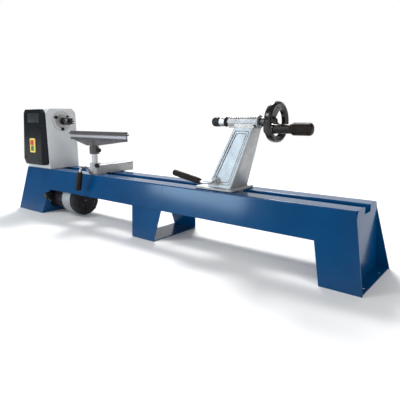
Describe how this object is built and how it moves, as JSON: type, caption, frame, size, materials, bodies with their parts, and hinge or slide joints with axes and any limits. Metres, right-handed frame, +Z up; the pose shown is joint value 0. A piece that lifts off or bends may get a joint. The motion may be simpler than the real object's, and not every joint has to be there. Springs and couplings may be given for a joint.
{
  "type": "wood lathe",
  "caption": "Bench wood lathe: folded steel bed in two halves, belt headstock with switch, banjo with tool rest, tailstock with handwheel.",
  "frame": {"origin": "middle of the centre foot's sole on the bench, under the spindle axis", "axes": "+X along the bed from headstock to tailstock, -Y towards the operator, +Z up"},
  "size_m": [1.3505, 0.226, 0.389],
  "materials": {
    "bed_paint": "gloss",
    "head_paint": "gloss",
    "black_steel": "satin",
    "steel": "brushed",
    "cast_aluminium": "satin",
    "rest_iron": "satin",
    "belt_rubber": "matte",
    "panel_plastic": "gloss",
    "black_plastic": "matte",
    "wheel_gloss": "gloss",
    "grip_plastic": "matte",
    "yellow_plastic": "gloss",
    "red_plastic": "gloss",
    "green_plastic": "gloss"
  },
  "bodies": {
    "bed": {"bed_rail_front_left": "bed_paint", "bed_rail_rear_left": "bed_paint", "bed_rail_front_right": "bed_paint", "bed_rail_rear_right": "bed_paint", "end_plate_left": "bed_paint", "end_plate_right": "bed_paint", "leg_inner_plate_left": "bed_paint", "leg_inner_plate_right": "bed_paint", "centre_foot": "bed_paint", "joint_plates": "bed_paint", "bed_bolts": "steel", "headstock_shell": "head_paint", "headstock_frame": "black_steel", "bearing_housing": "cast_aluminium", "housing_screws": "black_steel", "spindle_bearings": "steel", "drive_belt": "belt_rubber", "door_hinge": "black_steel", "switch_panel": "panel_plastic", "switch_frame": "yellow_plastic", "cable_gland": "black_plastic", "motor_hinge": "black_steel"},
    "spindle": {"spindle": "black_steel", "spindle_pulley": "cast_aluminium", "spur_centre": "steel"},
    "motor_mount": {"motor_plate": "black_steel", "motor_end_bell": "black_steel", "motor_body": "cast_aluminium", "fan_cover": "black_steel"},
    "rotor": {"motor_shaft": "steel", "motor_pulley": "cast_aluminium", "motor_fan": "black_plastic"},
    "motor_lock": {"motor_lock_knob": "black_plastic"},
    "door": {"belt_door": "head_paint"},
    "door_latch": {"door_knob": "black_plastic"},
    "start": {"start_button": "green_plastic"},
    "stop": {"stop_button": "red_plastic"},
    "banjo_carriage": {"banjo_clamp_plate": "black_steel", "banjo_clamp_bolt": "steel"},
    "banjo_eye": {"banjo_eye_block": "steel"},
    "banjo": {"banjo_arm": "cast_aluminium"},
    "banjo_lever": {"banjo_lever_rod": "steel", "banjo_lever_grip": "grip_plastic"},
    "post": {"rest_post": "steel"},
    "rest": {"tool_rest": "rest_iron", "rest_collar": "black_steel"},
    "rest_lock": {"rest_lock_screw": "black_plastic"},
    "post_lock": {"post_lock_screw": "black_plastic"},
    "tailstock": {"tailstock_casting": "cast_aluminium", "tailstock_clamp_plate": "black_steel", "tailstock_eye_bolt": "steel"},
    "tailstock_lever": {"tailstock_lever_rod": "steel", "tailstock_lever_grip": "grip_plastic"},
    "quill": {"quill": "black_steel", "live_centre_body": "steel"},
    "nose": {"live_centre_nose": "black_plastic"},
    "handwheel": {"feed_screw": "black_steel", "handwheel": "wheel_gloss", "crank_pin": "steel"},
    "crank": {"crank_grip": "grip_plastic"}
  },
  "joints": [
    {"name": "spindle_spin", "type": "hinge", "parent": "bed", "child": "spindle", "pos_m": [-0.5, 0, 0.34], "axis": [1, 0, 0], "continuous": true},
    {"name": "motor_swing", "type": "hinge", "parent": "bed", "child": "motor_mount", "pos_m": [-0.528, 0.05, 0.075], "axis": [-1, 0, 0], "range_deg": [0, 3]},
    {"name": "rotor_spin", "type": "hinge", "parent": "motor_mount", "child": "rotor", "pos_m": [-0.5, -0.024, 0.06], "axis": [1, 0, 0], "continuous": true},
    {"name": "motor_lock_turn", "type": "hinge", "parent": "motor_mount", "child": "motor_lock", "pos_m": [-0.519, -0.085, 0.069], "axis": [0, -1, 0], "range_deg": [0, 270]},
    {"name": "door_swing", "type": "hinge", "parent": "bed", "child": "door", "pos_m": [-0.683, 0.066, 0.275], "axis": [0, 0, -1], "range_deg": [0, 110]},
    {"name": "door_knob_turn", "type": "hinge", "parent": "door", "child": "door_latch", "pos_m": [-0.684, -0.048, 0.275], "axis": [1, 0, 0], "range_deg": [0, 90]},
    {"name": "start_press", "type": "slide", "parent": "bed", "child": "start", "axis": [0, 0.9991, -0.0416], "range_m": [0, 0.003], "stiffness_N_per_m": 300},
    {"name": "stop_press", "type": "slide", "parent": "bed", "child": "stop", "axis": [0, 0.9991, -0.0416], "range_m": [0, 0.003], "stiffness_N_per_m": 300},
    {"name": "banjo_slide", "type": "slide", "parent": "bed", "child": "banjo_carriage", "axis": [1, 0, 0], "range_m": [-0.09, 0.25]},
    {"name": "banjo_swivel", "type": "hinge", "parent": "banjo_carriage", "child": "banjo_eye", "pos_m": [-0.2845, 0, 0.15], "axis": [0, 0, 1], "range_deg": [-18, 36]},
    {"name": "banjo_reach", "type": "slide", "parent": "banjo_eye", "child": "banjo", "axis": [0, -1, 0], "range_m": [0, 0.06]},
    {"name": "banjo_lever_turn", "type": "hinge", "parent": "banjo", "child": "banjo_lever", "pos_m": [-0.2845, 0, 0.1715], "axis": [0, 1, 0], "range_deg": [0, 75]},
    {"name": "post_height", "type": "slide", "parent": "banjo", "child": "post", "axis": [0, 0, 1], "range_m": [0, 0.016]},
    {"name": "rest_swivel", "type": "hinge", "parent": "post", "child": "rest", "pos_m": [-0.2845, -0.038, 0.25], "axis": [0, 0, 1], "range_deg": [-90, 90]},
    {"name": "rest_lock_turn", "type": "hinge", "parent": "rest", "child": "rest_lock", "pos_m": [-0.268, -0.038, 0.246], "axis": [1, 0, 0], "range_deg": [0, 270]},
    {"name": "post_lock_turn", "type": "hinge", "parent": "banjo", "child": "post_lock", "pos_m": [-0.26637, -0.04645, 0.195], "axis": [0.9063, -0.4226, 0], "range_deg": [0, 270]},
    {"name": "tailstock_slide", "type": "slide", "parent": "bed", "child": "tailstock", "axis": [1, 0, 0], "range_m": [-0.15, 0.28]},
    {"name": "tailstock_lever_turn", "type": "hinge", "parent": "tailstock", "child": "tailstock_lever", "pos_m": [0.228, 0, 0.188], "axis": [0, 1, 0], "range_deg": [0, 85]},
    {"name": "handwheel_turn", "type": "hinge", "parent": "tailstock", "child": "handwheel", "pos_m": [0.35, 0, 0.34], "axis": [1, 0, 0], "range_deg": [0, 6600]},
    {"name": "quill_feed", "type": "slide", "parent": "tailstock", "child": "quill", "axis": [-1, 0, 0], "range_m": [0, 0.055]},
    {"name": "nose_spin", "type": "hinge", "parent": "quill", "child": "nose", "pos_m": [0.205, 0, 0.34], "axis": [1, 0, 0], "continuous": true},
    {"name": "crank_grip_spin", "type": "hinge", "parent": "handwheel", "child": "crank", "pos_m": [0.44, -0.033, 0.3253], "axis": [1, 0, 0], "continuous": true}
  ],
  "couplings": [
    {"joint": "spindle_spin", "follows": "rotor_spin", "ratio": 0.63522},
    {"joint": "quill_feed", "follows": "handwheel_turn", "m_per_rad": 0.00047746}
  ]
}
